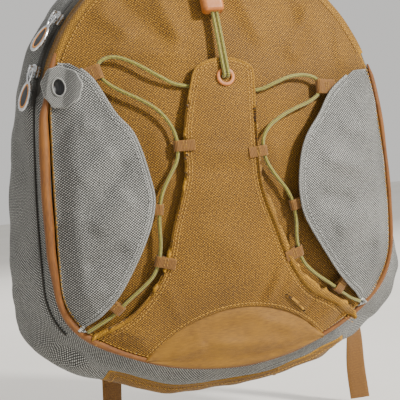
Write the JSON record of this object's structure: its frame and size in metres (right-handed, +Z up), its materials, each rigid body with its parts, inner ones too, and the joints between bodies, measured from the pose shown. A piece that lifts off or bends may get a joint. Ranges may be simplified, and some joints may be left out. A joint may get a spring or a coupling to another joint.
{
  "type": "hydration pack",
  "caption": "Small day pack with a clamshell zip, laced side pockets, a raised tongue flap, piping, shoulder straps, a sternum strap and a water reservoir inside.",
  "frame": {"origin": "middle of the haul loop's inner side, where a hook carries the pack", "axes": "+Z up, the front faces -Y, the wearer's side is +Y, +X is to the right seen from the front"},
  "size_m": [0.352, 0.2009, 0.472],
  "materials": {
    "mustard_weave": "dobby weave nylon, satin",
    "mustard_smooth": "plain weave nylon, satin",
    "grey_weave": "heathered grey dobby weave",
    "piping_orange": "covered cord, satin",
    "webbing_mustard": "ribbed nylon webbing",
    "pad_mesh": "spacer mesh",
    "lining": "coated lining",
    "bungee": "braided elastic cord",
    "zip_tape": "coil zip on woven tape",
    "zip_metal": "polished dark nickel",
    "pull_inlay": "soft moulded inlay with an orange line",
    "tan_plastic": "moulded, satin",
    "black_plastic": "moulded acetal",
    "spring_steel": "drawn wire",
    "sheet_plastic": "stiffener sheet",
    "bladder_film": "clear blue film",
    "cap_blue": "moulded cap"
  },
  "bodies": {
    "pack": {"front_panel": "mustard_weave", "lower_panel": "mustard_smooth", "piping": "piping_orange", "zip_facing": "mustard_smooth", "tongue_flap": "mustard_weave", "pocket_left": "grey_weave", "pocket_right": "grey_weave", "side_gusset": "grey_weave", "base_panel": "mustard_weave", "back_panel": "lining", "frame_sheet": "sheet_plastic", "back_pad_left": "pad_mesh", "back_pad_right": "pad_mesh", "lumbar_pad": "pad_mesh", "haul_loop": "webbing_mustard", "reservoir": "bladder_film", "reservoir_neck": "bladder_film", "reservoir_outlet": "bladder_film", "reservoir_hanger": "lining", "reservoir_sleeve": "lining", "main_zip": "zip_tape", "grommet": "tan_plastic", "grommet_washer": "black_plastic", "draw_strand_left": "bungee", "draw_strand_right": "bungee", "cord_anchor": "webbing_mustard", "lace_left": "bungee", "lace_right": "bungee", "lace_loops_left": "webbing_mustard", "lace_loops_right": "webbing_mustard", "pocket_tab_left": "webbing_mustard", "pocket_tab_right": "webbing_mustard", "shoulder_strap_left": "pad_mesh", "shoulder_strap_right": "pad_mesh", "ladder_lock_left": "black_plastic", "ladder_lock_right": "black_plastic", "strap_keeper_left": "webbing_mustard", "strap_keeper_right": "webbing_mustard", "webbing_tail_left": "webbing_mustard", "webbing_tail_right": "webbing_mustard", "lower_webbing_left": "webbing_mustard", "lower_webbing_right": "webbing_mustard", "corner_anchor_left": "webbing_mustard", "corner_anchor_right": "webbing_mustard"},
    "upper_slider_body": {"upper_slider": "zip_metal"},
    "upper_pull_body": {"upper_pull": "zip_metal", "upper_pull_inlay": "pull_inlay"},
    "lower_slider_body": {"lower_slider": "zip_metal"},
    "lower_pull_body": {"lower_pull": "zip_metal", "lower_pull_inlay": "pull_inlay"},
    "cord_lock": {"lock_body": "tan_plastic", "lock_spring": "spring_steel"},
    "plunger": {"lock_plunger": "tan_plastic"},
    "sternum_strap": {"sternum_slider_left": "black_plastic", "sternum_slider_right": "black_plastic", "sternum_webbing_left": "webbing_mustard", "buckle_female": "black_plastic"},
    "buckle_tongue": {"buckle_male": "black_plastic", "sternum_webbing_right": "webbing_mustard"},
    "cap": {"reservoir_cap": "cap_blue"}
  },
  "joints": [
    {"name": "upper_slider_travel", "type": "hinge", "parent": "pack", "child": "upper_slider_body", "pos_m": [0, -0.084, -0.18], "axis": [0, 1, 0], "range_deg": [0, 130]},
    {"name": "upper_pull_swing", "type": "hinge", "parent": "upper_slider_body", "child": "upper_pull_body", "pos_m": [-0.12239, -0.08806, -0.08438], "axis": [-0.3928, 0.8669, 0.3069], "range_deg": [0, 150]},
    {"name": "lower_slider_travel", "type": "hinge", "parent": "pack", "child": "lower_slider_body", "pos_m": [0, -0.084, -0.18], "axis": [0, 1, 0], "range_deg": [-13, 0]},
    {"name": "lower_pull_swing", "type": "hinge", "parent": "lower_slider_body", "child": "lower_pull_body", "pos_m": [-0.14595, -0.08806, -0.12688], "axis": [-0.4684, 0.8669, 0.1705], "range_deg": [0, 150]},
    {"name": "cord_lock_slide", "type": "slide", "parent": "pack", "child": "cord_lock", "axis": [0, -0.2606, -0.9655], "range_m": [0, 0.03]},
    {"name": "plunger_press", "type": "slide", "parent": "cord_lock", "child": "plunger", "axis": [-1, 0, 0], "range_m": [0, 0.0019], "stiffness_N_per_m": 800},
    {"name": "sternum_height", "type": "slide", "parent": "pack", "child": "sternum_strap", "axis": [0, 0, 1], "range_m": [-0.018, 0.018]},
    {"name": "buckle_release", "type": "slide", "parent": "sternum_strap", "child": "buckle_tongue", "axis": [1, 0, 0], "range_m": [0, 0.017]},
    {"name": "cap_turn", "type": "hinge", "parent": "pack", "child": "cap", "pos_m": [0, -0.026, -0.15], "axis": [0, -1, 0], "range_deg": [0, 90]}
  ]
}
